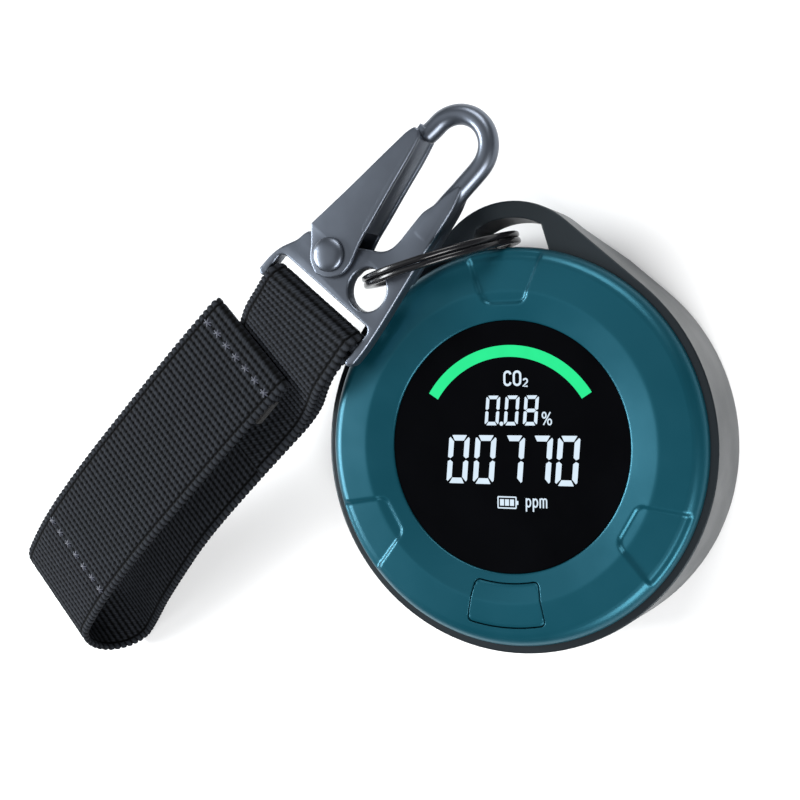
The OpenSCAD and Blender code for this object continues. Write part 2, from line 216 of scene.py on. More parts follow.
def tube(rings, dome=0.0):
    """A closed tube through rings of equal length, its ends drawn in by dome, as (vertices, faces)."""
    rings = [np.asarray(r, float) for r in rings]
    if dome:
        first, last = [], []
        for k in (1, 2, 3):
            a = k / 3 * math.radians(80)
            for store, ring, beside in ((first, rings[0], rings[1]), (last, rings[-1], rings[-2])):
                middle = ring.mean(0)
                way = middle - beside.mean(0)
                way /= np.linalg.norm(way)
                store.append(middle + (ring - middle) * math.cos(a) + way * dome * math.sin(a))
        rings = first[::-1] + rings + last
    n = len(rings[0])
    faces = []
    for r in range(len(rings) - 1):
        for i in range(n):
            a, b = r * n + i, r * n + (i + 1) % n
            faces.append((a, b, b + n, a + n))
    faces.append(tuple(reversed(range(n))))
    faces.append(tuple((len(rings) - 1) * n + i for i in range(n)))
    vertices = np.vstack(rings)
    return vertices, outward(vertices, faces)


def lathe(profile, x, y, count=72):
    """A closed solid of revolution from (radius, height) pairs that start and end on the axis."""
    vertices, faces = [[x, y, profile[0][1]]], []
    for r, z in profile[1:-1]:
        for k in range(count):
            a = 2 * math.pi * k / count
            vertices.append([x + r * math.cos(a), y + r * math.sin(a), z])
    vertices.append([x, y, profile[-1][1]])
    rows, end = len(profile) - 2, len(vertices) - 1
    for k in range(count):
        n = (k + 1) % count
        faces.append((0, 1 + n, 1 + k))
        for r in range(rows - 1):
            a, b = 1 + r * count + k, 1 + r * count + n
            faces.append((a, b, b + count, a + count))
        faces.append((end, 1 + (rows - 1) * count + k, 1 + (rows - 1) * count + n))
    return np.array(vertices), outward(vertices, faces)


def curve_through(points, step):
    """A smooth open line through points, sampled at equal steps."""
    p = np.asarray(points, float)
    ends = np.vstack([2 * p[0] - p[1], p, 2 * p[-1] - p[-2]])
    dense = []
    for i in range(1, len(ends) - 2):
        a, b, c, d = ends[i - 1 : i + 3]
        k = [0.0]
        for q, r in ((a, b), (b, c), (c, d)):
            k.append(k[-1] + max(np.linalg.norm(r - q), 1e-9) ** 0.5)
        for t in np.linspace(k[1], k[2], 24, endpoint=False):
            a1 = (k[1] - t) / (k[1] - k[0]) * a + (t - k[0]) / (k[1] - k[0]) * b
            a2 = (k[2] - t) / (k[2] - k[1]) * b + (t - k[1]) / (k[2] - k[1]) * c
            a3 = (k[3] - t) / (k[3] - k[2]) * c + (t - k[2]) / (k[3] - k[2]) * d
            b1 = (k[2] - t) / (k[2] - k[0]) * a1 + (t - k[0]) / (k[2] - k[0]) * a2
            b2 = (k[3] - t) / (k[3] - k[1]) * a2 + (t - k[1]) / (k[3] - k[1]) * a3
            dense.append((k[2] - t) / (k[2] - k[1]) * b1 + (t - k[1]) / (k[2] - k[1]) * b2)
    dense.append(p[-1])
    dense = np.array(dense)
    run = np.concatenate([[0], np.cumsum(np.linalg.norm(np.diff(dense, axis=0), axis=1))])
    count = max(2, int(round(run[-1] / step)) + 1)
    at = np.linspace(0, run[-1], count)
    return np.stack([np.interp(at, run, dense[:, k]) for k in range(dense.shape[1])], 1)


def smooth_step(value, low, high):
    t = np.clip((np.asarray(value, float) - low) / (high - low), 0, 1)
    return t * t * (3 - 2 * t)


# ---------- materials ----------


class Shader:
    """A small helper that adds and joins shader nodes."""

    def __init__(self, name):
        self.material = bpy.data.materials.new(name)
        self.material.use_nodes = True
        self.tree = self.material.node_tree
        self.tree.nodes.clear()
        self.output = self.add("ShaderNodeOutputMaterial")

    def add(self, kind, **settings):
        node = self.tree.nodes.new(kind)
        for key, value in settings.items():
            if key.startswith("in_"):
                node.inputs[key[3:].replace("_", " ")].default_value = value
            else:
                setattr(node, key, value)
        return node

    def link(self, source, target):
        self.tree.links.new(source, target)

    def noise(self, scale, detail=3.0, stretch=None):
        place = self.add("ShaderNodeTexCoord").outputs["Object"]
        if stretch:
            mapping = self.add("ShaderNodeMapping")
            mapping.inputs["Scale"].default_value = stretch
            self.link(place, mapping.inputs["Vector"])
            place = mapping.outputs["Vector"]
        node = self.add("ShaderNodeTexNoise")
        node.inputs["Scale"].default_value = scale
        node.inputs["Detail"].default_value = detail
        self.link(place, node.inputs["Vector"])
        return node.outputs["Fac"]

    def ramp(self, fac, stops):
        node = self.add("ShaderNodeValToRGB")
        elements = node.color_ramp.elements
        while len(elements) < len(stops):
            elements.new(0.5)
        for element, (position, colour) in zip(elements, stops):
            element.position = position
            element.color = (*colour, 1) if len(colour) == 3 else colour
        self.link(fac, node.inputs["Fac"])
        return node.outputs["Color"]

    def spread(self, fac, low, high):
        node = self.add("ShaderNodeMapRange")
        node.inputs["From Min"].default_value = 0.3
        node.inputs["From Max"].default_value = 0.7
        node.inputs["To Min"].default_value = low
        node.inputs["To Max"].default_value = high
        self.link(fac, node.inputs["Value"])
        return node.outputs["Result"]

    def bump(self, height, strength, distance, edge=0.0, normal=None):
        node = self.add("ShaderNodeBump")
        node.inputs["Strength"].default_value = strength
        node.inputs["Distance"].default_value = distance
        self.link(height, node.inputs["Height"])
        if edge:
            bevel = self.add("ShaderNodeBevel", samples=6)
            bevel.inputs["Radius"].default_value = edge
            normal = bevel.outputs["Normal"]
        if normal is not None:
            self.link(normal, node.inputs["Normal"])
        return node.outputs["Normal"]

    def surface(self, **values):
        node = self.add("ShaderNodeBsdfPrincipled")
        for key, value in values.items():
            socket = node.inputs[key.replace("_", " ")]
            if isinstance(value, bpy.types.NodeSocket):
                self.link(value, socket)
            else:
                socket.default_value = value
        self.link(node.outputs[0], self.output.inputs["Surface"])
        return self.material


def shade(colour, factor):
    return tuple(min(1.0, c * factor) for c in colour)


def solid(name, colour, rough, grain=2500.0, depth=0.00002, vary=0.12, edge=0.0, blotch=90.0, **more):
    """A moulded, painted or metal surface: slight blotches in colour and gloss, and a fine grain."""
    s = Shader(name)
    blotches = s.noise(blotch, 4)
    tint = s.ramp(blotches, [(0.3, shade(colour, 1 - vary)), (0.7, shade(colour, 1 + vary))])
    gloss = s.spread(s.noise(blotch * 3, 3), rough * 0.88, rough * 1.12)
    normal = s.bump(s.noise(grain, 2), 0.35, depth, edge)
    return s.surface(Base_Color=tint, Roughness=gloss, Normal=normal, **more)


def brushed(name, colour, rough, stretch, edge=0.0, **more):
    """A metal surface with fine streaks one way."""
    s = Shader(name)
    streaks = s.noise(900, 3, stretch)
    tint = s.ramp(streaks, [(0.3, shade(colour, 0.86)), (0.7, shade(colour, 1.12))])
    gloss = s.spread(s.noise(160, 3), rough * 0.8, rough * 1.2)
    normal = s.bump(streaks, 0.25, 0.00002, edge)
    return s.surface(Base_Color=tint, Roughness=gloss, Normal=normal, Metallic=1.0, **more)


def fabric(name, valley, crest, rough=0.78):
    """Woven webbing: painted shade, dark between its ribs, and painted highlight, greyer on the yarns' tops,
    both following a height the mesh stores; with fine fibres.
    """
    s = Shader(name)
    # The stored height that the colour follows, as painted shade in the grooves and painted highlight on the
    # crests.
    painted_shading_height = s.add("ShaderNodeAttribute", attribute_name="painted_shading_height").outputs["Fac"]
    weave = s.add("ShaderNodeAttribute", attribute_name="weave").outputs["Vector"]
    fibres = s.add("ShaderNodeTexNoise")
    fibres.inputs["Scale"].default_value = 9.0
    fibres.inputs["Detail"].default_value = 4.0
    slant = s.add("ShaderNodeMapping")
    slant.inputs["Scale"].default_value = (1.0, 0.28, 1.0)
    s.link(weave, slant.inputs["Vector"])
    s.link(slant.outputs["Vector"], fibres.inputs["Vector"])
    mixed = s.add("ShaderNodeMath", operation="MULTIPLY_ADD")
    mixed.inputs[1].default_value = 0.25
    s.link(fibres.outputs["Fac"], mixed.inputs[0])
    lowered = s.add("ShaderNodeMath", operation="MULTIPLY")
    lowered.inputs[1].default_value = 0.85
    s.link(painted_shading_height, lowered.inputs[0])
    s.link(lowered.outputs[0], mixed.inputs[2])
    # The valley colour is painted shade and the crest colour is painted highlight; the fibre noise adds random
    # tone.
    tint = s.ramp(mixed.outputs[0], [(0.34, valley), (0.62, shade(crest, 0.22)), (1.0, crest)])
    normal = s.bump(fibres.outputs["Fac"], 0.7, 0.00012)
    return s.surface(
        Base_Color=tint, Roughness=rough, Normal=normal, Sheen_Weight=0.03, Sheen_Roughness=0.35,
        Sheen_Tint=(0.55, 0.62, 0.75, 1), Specular_IOR_Level=0.07,
    )


def glowing(name, colour, strength):
    """A lit display element, very slightly uneven."""
    s = Shader(name)
    tint = s.ramp(s.noise(350, 2), [(0.3, shade(colour, 0.94)), (0.7, colour)])
    return s.surface(
        Base_Color=(0.0, 0.0, 0.0, 1), Roughness=0.4, Emission_Color=tint, Emission_Strength=strength,
        Specular_IOR_Level=0.1,
    )


def circuit_board(name):
    """Green solder mask with lighter copper runs under it."""
    s = Shader(name)
    place = s.add("ShaderNodeTexCoord").outputs["Object"]
    runs = s.add("ShaderNodeTexBrick")
    for key, value in (("Scale", 320.0), ("Mortar Size", 0.09), ("Brick Width", 1.7), ("Row Height", 0.35)):
        runs.inputs[key].default_value = value
    s.link(place, runs.inputs["Vector"])
    tint = s.ramp(runs.outputs["Fac"], [(0.2, (0.012, 0.11, 0.045)), (0.8, (0.03, 0.2, 0.09))])
    normal = s.bump(runs.outputs["Fac"], 0.3, 0.00003)
    return s.surface(Base_Color=tint, Roughness=0.35, Normal=normal)


def pile(name):
    """Hook and loop tape: short tangled pile."""
    s = Shader(name)
    tufts = s.noise(1500, 5)
    tint = s.ramp(tufts, [(0.35, (0.0012, 0.0012, 0.0015)), (0.7, (0.008, 0.008, 0.009))])
    normal = s.bump(tufts, 1.0, 0.0004)
    return s.surface(Base_Color=tint, Roughness=0.9, Normal=normal, Sheen_Weight=0.05, Sheen_Roughness=0.6)


TEAL = (0.0042, 0.061, 0.088)
TEAL_PAINT = {"grain": 6000, "depth": 0.000012, "vary": 0.04, "edge": 0.0003, "blotch": 40,
              "Metallic": 0.52, "Specular_IOR_Level": 0.25}
MATERIALS = {
    "case_plastic": solid("case_plastic", (0.006, 0.0075, 0.0095), 0.36, 4200, 0.00003, 0.04, 0.0005, 30,
                          IOR=1.43, Specular_Tint=(0.78, 0.93, 1.0, 1)),
    "bezel_plastic": solid("bezel_plastic", TEAL, 0.34, **TEAL_PAINT),
    "button_plastic": solid("button_plastic", shade(TEAL, 1.03), 0.35, **TEAL_PAINT),
    "lens_plastic": solid("lens_plastic", (0.0012, 0.0013, 0.0017), 0.05, 800, 0.000001, 0.2, 0.0001,
                          Specular_IOR_Level=0.008),
    "panel_glass": solid("panel_glass", (0.04, 0.045, 0.06), 0.15, 1500, 0.000004, 0.1),
    "holder_plastic": solid("holder_plastic", (0.66, 0.66, 0.63), 0.5, 2500, 0.00002, 0.06, 0.0002),
    "ribbon_film": solid("ribbon_film", (0.48, 0.2, 0.045), 0.3, 1500, 0.00001, 0.15),
    "circuit_board": circuit_board("circuit_board"),
    "screw_steel": brushed("screw_steel", (0.52, 0.52, 0.54), 0.3, (1, 6, 1), 0.0001),
    "socket_steel": brushed("socket_steel", (0.6, 0.6, 0.62), 0.25, (6, 1, 1), 0.0001),
    "sensor_metal": brushed("sensor_metal", (0.68, 0.56, 0.3), 0.3, (1, 5, 1), 0.0002),
    "filter_felt": solid("filter_felt", (0.8, 0.8, 0.79), 0.95, 2600, 0.0002, 0.08),
    "cell_foil": brushed("cell_foil", (0.55, 0.57, 0.6), 0.38, (1, 1, 1), 0.0004),
    "part_plastic": solid("part_plastic", (0.03, 0.03, 0.032), 0.5, 2500, 0.00002, 0.12, 0.0001),
    "seal_rubber": solid("seal_rubber", (0.02, 0.02, 0.02), 0.8, 2500, 0.00004, 0.15),
    "ring_steel": solid("ring_steel", (0.006, 0.006, 0.007), 0.22, 1200, 0.000008, 0.2, 0.0,
                        Specular_IOR_Level=0.3),
    "hook_metal": solid("hook_metal", (0.098, 0.112, 0.137), 0.34, 2400, 0.00001, 0.1, 0.00035, 55,
                        Metallic=0.88),
    "fastener_tape": pile("fastener_tape"),
}
# Webbing colours: the near-black valley colour is painted shade, and the greyer crest colour is painted
# highlight.
WEBBING = fabric("webbing", (0.0003, 0.0004, 0.0005), (0.024, 0.0275, 0.034))
THREAD = solid("stitch_thread", (0.026, 0.03, 0.048), 0.55, 4000, 0.00006, 0.3, Sheen_Weight=0.1)
MATERIALS["webbing"] = WEBBING

for part in frame["record"]["subparts"]:
    node = frame["nodes"][part["node"]]
    finish = MATERIALS[part["material_slot"]]
    if node.material_slots:
        for slot in node.material_slots:
            slot.material = finish
    else:
        node.data.materials.append(finish)


# ---------- bezel and button ----------


def bezel_height(x, y):
    """The height of the bezel's face at points: an inner cone, a crest, a flat rim and three pockets."""
    r = np.hypot(x, y)
    cone = BEZEL_TOP - 1.45 * (CREST_RADIUS - r) / (CREST_RADIUS - WINDOW_RADIUS)
    rim = BEZEL_TOP - 0.5 * (r - CREST_RADIUS) / 5.7
    soft = 0.05
    base = 0.5 * (cone + rim - np.sqrt((cone - rim) ** 2 + soft**2))
    shoulder_r = [33.2, 33.8, 34.3, 34.7, 35.0, 35.25, 35.45, 35.55, BEZEL_RADIUS]
    shoulder_drop = [0.0, 0.1, 0.3, 0.56, 0.84, 1.14, 1.52, 1.82, 2.1]
    base = base - np.interp(r, shoulder_r, shoulder_drop)
    depth = np.zeros_like(r)
    for turn in (90, 210, 330):
        a = math.radians(turn)
        along = x * math.cos(a) + y * math.sin(a)
        aside = np.abs(-x * math.sin(a) + y * math.cos(a))
        d1 = along - 25.15
        d2 = (4.0 + 0.385 * d1 - aside) * 0.933
        corner = 1.5
        inner = corner - np.hypot(np.clip(corner - d1, 0, None), np.clip(corner - d2, 0, None))
        inside = np.where((d1 < corner) & (d2 < corner), inner, np.minimum(d1, d2))
        depth = np.maximum(depth, smooth_step(inside, 0, 0.85) * (along > 0))
    return base - 0.55 * depth * (1 - smooth_step(r, 33.9, 35.3))


def button_outline(gap):
    """The mode button's outline: two arcs and two slanted sides, with round corners."""
    low = [[31.9 * math.sin(a), -31.9 * math.cos(a)] for a in np.radians(np.linspace(-13.2, 13.2, 9))]
    high = [[24.4 * math.sin(a), -24.4 * math.cos(a)] for a in np.radians(np.linspace(13.8, -13.8, 7))]
    loop = anticlockwise(filleted(low + high, 2.9, 8, 20))
    return inset(loop, -gap) if gap else loop


def front_bezel():
    """The teal bezel, with its pockets and the opening for the button."""
    under = [[BEZEL_RADIUS, 18.02], [33.6, 18.02], [33.6, 14.6], [32.1, 14.6], [32.1, 18.7],
             [CREST_RADIUS, 19.15], [24, 17.3], [21, 17.3], [21, 18.3], [WINDOW_RADIUS, 18.3]]
    radii = np.concatenate([[WINDOW_RADIUS, WINDOW_RADIUS + 0.06], np.arange(22.9, 33.2, 0.2),
                            np.arange(33.2, 35.0, 0.15),
                            [35.05, 35.2, 35.32, 35.42, 35.5, 35.56, BEZEL_RADIUS]])
    count = 720
    a = np.linspace(0, 2 * math.pi, count, endpoint=False)
    x, y = np.outer(np.cos(a), radii), np.outer(np.sin(a), radii)
    z = bezel_height(x, y)
    z[:, 0] -= 0.06
    face = np.stack([x, y, z], -1)
    rest = np.stack([[[r * math.cos(t), r * math.sin(t), h] for r, h in under] for t in a])
    rings = np.concatenate([face, rest], 1)
    n = rings.shape[1]
    here = np.arange(count)[:, None] * n + np.arange(n)[None, :]
    beside = np.arange(count)[:, None] * n + (np.arange(n)[None, :] + 1) % n
    ahead = (here + n) % (count * n)
    ahead_beside = (beside + n) % (count * n)
    quads = np.stack([here, beside, ahead_beside, ahead], -1).reshape(-1, 4).tolist()
    vertices = rings.reshape(-1, 3)
    faces = outward_sample(vertices, quads)
    piece = add_mesh("front_bezel_shell", vertices, faces, MATERIALS["bezel_plastic"])
    carve(piece, "DIFFERENCE", prism(button_outline(0.24), 16.5, 23.0))
    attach(piece, "monitor")
    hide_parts("front_bezel")


def outward_sample(vertices, quads):
    """The quads, turned over if the closed shape is inside out."""
    q = np.array(quads)
    v = np.asarray(vertices)
    a, b, c, d = (v[q[:, k]] for k in range(4))
    volume = (a * np.cross(b, c)).sum() + (a * np.cross(c, d)).sum()
    return quads if volume > 0 else [f[::-1] for f in quads]


def mode_button():
    """The teal button, whose face carries on the bezel's shape."""
    radii = np.arange(23.6, 33.0, 0.14)
    turns = np.radians(np.arange(-110, -69.9, 0.3))
    x, y = np.outer(np.cos(turns), radii), np.outer(np.sin(turns), radii)
    loop = button_outline(0)
    edge = np.full(x.shape, 9.0)
    for q in loop:
        edge = np.minimum(edge, np.hypot(x - q[0], y - q[1]))
    top = bezel_height(x, y) - 0.12 * (1 - smooth_step(edge, 0.05, 0.4))
    rows, columns = x.shape
    count = rows * columns
    vertices = np.vstack([np.stack([x, y, top], -1).reshape(-1, 3),
                          np.stack([x, y, np.full(x.shape, 18.0)], -1).reshape(-1, 3)])
    here = (np.arange(rows - 1)[:, None] * columns + np.arange(columns - 1)[None, :]).ravel()
    high = np.stack([here, here + 1, here + 1 + columns, here + columns], -1)
    quads = high.tolist() + (high[:, ::-1] + count).tolist()
    rim = [*range(columns), *range(2 * columns - 1, count, columns),
           *range(count - 2, count - columns - 1, -1),
           *range(count - 2 * columns, 0, -columns)]
    for a, b in zip(rim, rim[1:] + rim[:1]):
        quads.append([a, a + count, b + count, b])
    faces = outward_sample(vertices, quads)
    block = add_mesh("mode_button_cap", vertices, faces, MATERIALS["button_plastic"])
    carve(block, "INTERSECT", prism(loop, 17.0, 23.0))
    stem = lathe([(0, 13.55), (1.5, 13.55), (1.6, 13.65), (1.6, 18.05), (0, 18.05)], 0, -28.4, 32)
    post = add_mesh("mode_button_stem", *stem, MATERIALS["button_plastic"], "button", 50)
    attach(block, "button")
    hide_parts("mode_button")


def carve(piece, operation, shape):
    """The piece's mesh cut, or kept, by a closed shape."""
    tool = add_mesh("tool", shape[0], outward(*shape), MATERIALS["bezel_plastic"])
    cut = piece.modifiers.new("cut", "BOOLEAN")
    cut.operation, cut.solver, cut.object = operation, "EXACT", tool
    bpy.context.view_layer.update()
    piece.data = bpy.data.meshes.new_from_object(piece.evaluated_get(bpy.context.evaluated_depsgraph_get()))
    piece.modifiers.clear()
    mesh = bmesh.new()
    mesh.from_mesh(piece.data)
    bmesh.ops.remove_doubles(mesh, verts=mesh.verts, dist=4e-6)
    bmesh.ops.dissolve_degenerate(mesh, edges=mesh.edges, dist=4e-6)
    mesh.to_mesh(piece.data)
    mesh.free()
    piece.data.shade_smooth()
    piece.data.set_sharp_from_angle(angle=math.radians(50))
    bpy.data.objects.remove(tool)


# ---------- snap hook ----------


def hook_frame():
    """The hook's stamped plate, its round nose, the gate's stop and the bar."""
    outline = [
        [-20.7, -12.9], [-20.5, -9.5], [-19.9, -7], [-18.8, -4.9], [-17.9, -3.4],
        [-17.5, -1.5], [-17, -0.4], [-15.2, 0.1], [-13.4, 2.6], [-10, 4],
        [-7, 3.6], [-5.3, 4.9], [-2.6, 6.4], [-1.4, 8], [-1, 10.2], [-1.05, 14], [-1, 17.2],
        [-0.1, 19.4], [0.5, 22.6], [1.5, 25.2], [2.3, 24.6], [3.3, 21.4], [3.9, 16.5], [4.4, 11],
        [5.2, 6], [5.6, 3.1], [6.6, -4], [7.1, -9],
        [7.1, -12.6], [6.3, -13.7], [5.35, -13.4], [5.3, -6.3], [4.6, -5.5],
        [-17.9, -7.1], [-18.9, -8], [-18.9, -13.2], [-19.8, -13.4],
    ]
    body = plate(filleted(outline, 0.9), [ring_of(-0.1, -0.5, 4.0), ring_of(*RIVET, 1.75, 32)],
                 PLATE_LOW, HOOK_TOP, 0.38)
    leg = plate(filleted([
        [5.35, 5.2], [4.5, 11], [3.95, 16.5], [3.4, 21.2], [2.5, 24.2], [0.9, 23.6], [0.5, 21.5],
        [1.4, 16.2], [2.0, 11], [2.9, 5.4],
    ], 0.8), [], 20.5, PLATE_LOW + 0.6, 0.5)
    shape, sides = leg
    shape = np.array(shape, float)
    top = PLATE_LOW + 0.6
    lowest = np.interp(shape[:, 1], [10.5, 13.2, 24.0], [21.95, 20.6, 21.65])
    shape[:, 2] = top - (top - shape[:, 2]) * (top - lowest) / (top - 20.5)
    leg = (shape, sides)
    stop = plate(filleted([[-12.2, 28.4], [-11.9, 25.4], [-10.8, 25.4], [-10.6, 28.4]], 0.2), [],
                 PLATE_LOW, HOOK_TOP - 0.1, 0.2)
    line = [[1.7, 13.5], [1.5, 17], [1.4, 20.3], [1.5, 24.6], [1.7, 29.4]]
    for turn in range(15, 181, 15):
        a = math.radians(turn)
        line.append([-4.2 + 5.9 * math.cos(a), 29.4 + 5.9 * math.sin(a)])
    line += [[-10.25, 28.4], [-10.45, 27.4]]
    line = curve_through(line, 0.35)
    ahead = np.gradient(line, axis=0)
    ahead /= np.linalg.norm(ahead, axis=1)[:, None]
    rings = []
    for p, d in zip(line, ahead):
        across = np.array([-d[1], d[0]])
        low_end = max(0.0, min(1.0, (24.0 - p[1]) / 10.0)) if p[0] > 0 else 0.0
        half = ROD_RADIUS - 0.03 + 0.25 * low_end
        power = 2 / (2 + 1.6 * low_end)
        ring = []
        for k in range(28):
            a = 2 * math.pi * k / 28
            u = math.copysign(abs(math.cos(a)) ** power, math.cos(a)) * half
            w = math.copysign(abs(math.sin(a)) ** power, math.sin(a)) * (ROD_RADIUS - 0.03)
            ring.append([*(p + across * u), HOOK_TOP - ROD_RADIUS - 0.02 + w])
        rings.append(ring)
    nose = tube(rings, 0.9)
    c, s = math.cos(BAR_YAW - HOOK_YAW), math.sin(BAR_YAW - HOOK_YAW)
    rings = []
    for x in np.linspace(-12.6, 12.6, 15):
        ring = []
        for k in range(24):
            a = 2 * math.pi * k / 24
            y = BAR_RADIUS * math.cos(a)
            ring.append([BAR_PLACE[0] + c * x - s * y, BAR_PLACE[1] + s * x + c * y,
                         BAR_Z + BAR_RADIUS * math.sin(a)])
        rings.append(ring)
    vertices, faces = joined(body, leg, stop, nose, tube(rings, 0.3))
    piece = add_mesh("snap_hook_frame", in_hook(vertices), faces, MATERIALS["hook_metal"], "hook")
    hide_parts("hook_frame")


def hook_gate():
    """The gate: two cheeks of sheet joined by a bent spine."""
    cheek = [
        [-16.7, 1.3], [-15.6, 0.1], [-14.0, -1.6], [-12.4, -3.9], [-9.7, -4.9], [-6.9, -3.9],
        [-5.3, -1.6], [-5.1, 0.8], [-5.9, 3.4], [-6.7, 6.4], [-7.3, 10.8], [-8.4, 17.6],
        [-9.2, 23.3], [-10.0, 26.9], [-10.9, 27.7], [-11.9, 27.4], [-12.5, 26.0], [-13.4, 20.8],
        [-14.9, 11.2],
    ]
    outline = filleted(cheek, 0.7)
    pivot = ring_of(*RIVET, 1.7, 40)
    front = plate(outline, [pivot], GATE_HIGH - 1.0, GATE_HIGH, 0.3)
    rear = plate(inset(anticlockwise(outline), -0.25), [pivot], GATE_LOW, GATE_LOW + 1.0, 0.3)
    spine = [
        [-6.72, 7.2], [-7.32, 10.8], [-8.42, 17.6], [-9.22, 23.3], [-9.9, 26.4], [-10.3, 27.0],
        [-10.5, 25.0], [-10.2, 23.3], [-9.4, 17.6], [-8.3, 10.8], [-7.7, 7.4],
    ]
    wall = plate(filleted(spine, 0.3), [], GATE_LOW + 0.12, GATE_HIGH - 0.12, 0.12, 2)
    vertices, faces = joined(front, rear, wall)
    piece = add_mesh("snap_hook_gate", in_hook(vertices), faces, MATERIALS["hook_metal"], "gate")
    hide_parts("hook_gate")


def hook_rivet():
    """The gate's rivet, with a domed front head and a flat rear one."""
    head = GATE_HIGH + 0.08
    dome = [(3.2 * math.cos(a), head + 0.35 + 0.95 * math.sin(a)) for a in np.radians(range(0, 90, 9))]
    profile = [(0, GATE_LOW - 0.85), (2.7, GATE_LOW - 0.85), (3.0, GATE_LOW - 0.6),
               (3.0, GATE_LOW - 0.1), (1.65, GATE_LOW - 0.1), (1.65, head), (3.05, head),
               (3.2, head + 0.12), *dome, (0, head + 1.3)]
    vertices, faces = lathe(profile, *RIVET)
    piece = add_mesh("hook_rivet_head", in_hook(vertices), faces, MATERIALS["hook_metal"], "hook", 50)
    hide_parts("hook_rivet")


def split_ring():
    """The split ring: one flat wire wound twice, with a jog between its coils."""
    jog = math.radians(26)
    start = math.radians(238)
    total = 4 * math.pi - jog
    rings = []
    for turn in np.linspace(0, total, 300):
        t = max(0.0, min(1.0, (turn - (2 * math.pi - jog)) / jog))
        lift = (t * t * (3 - 2 * t) - 0.5) * (RING_COIL + 0.04)
        ring = []
        for k in range(16):
            a = 2 * math.pi * k / 16
            u = math.copysign(abs(math.cos(a)) ** 0.62, math.cos(a)) * RING_WIRE / 2
            w = math.copysign(abs(math.sin(a)) ** 0.62, math.sin(a)) * RING_COIL / 2
            r = RING_RADIUS + u
            ring.append([r * math.cos(start + turn), r * math.sin(start + turn), lift + w])
        rings.append(ring)
    vertices, faces = tube(rings, 0.15)
    turn = Matrix.Rotation(RING_YAW, 3, "Z") @ Matrix.Rotation(math.pi / 2 + RING_LEAN, 3, "X")
    vertices = vertices @ np.array(turn).T + RING_CENTRE
    piece = add_mesh("split_ring_coils", vertices, faces, MATERIALS["ring_steel"], "ring", 50)
    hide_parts("split_ring")


# ---------- webbing ----------

RIB = 1.33
YARN = 0.63
STRAP_ORIGIN = in_hook([[*BAR_PLACE, 0.0]])[0][:2]
ALONG = np.array([math.sin(STRAP_YAW), -math.cos(STRAP_YAW)])
ACROSS = np.array([math.cos(STRAP_YAW), math.sin(STRAP_YAW)])
ACROSS_BAR = np.array([math.cos(BAR_YAW), math.sin(BAR_YAW)])


def rounded(fraction):
    """A row of half-round ridges: 0 in the grooves and 1 on the crests."""
    f = np.mod(fraction, 1.0)
    return np.sqrt(np.clip(1 - (2 * f - 1) ** 2, 0, 1))


def row_frame(s, z):
    """Where the middle of the webbing is at a distance and height, and which way its width runs."""
    s = np.asarray(s, float)
    near_bar = np.clip((9.0 - s) / 9.0, 0, 1)[..., None]
    across = ACROSS * (1 - near_bar) + ACROSS_BAR * near_bar
    across = across / np.linalg.norm(across, axis=-1, keepdims=True)
    flat = STRAP_ORIGIN + ALONG * s[..., None]
    height = np.asarray(z, float)[..., None]
    return np.concatenate([flat, height], -1), np.concatenate([across, 0 * height], -1)


def side_normals(line):
    """The normals of a line of (distance, height) pairs, on its left."""
    ahead = np.gradient(line, axis=0)
    ahead /= np.linalg.norm(ahead, axis=1)[:, None]
    return np.stack([-ahead[:, 1], ahead[:, 0]], 1)


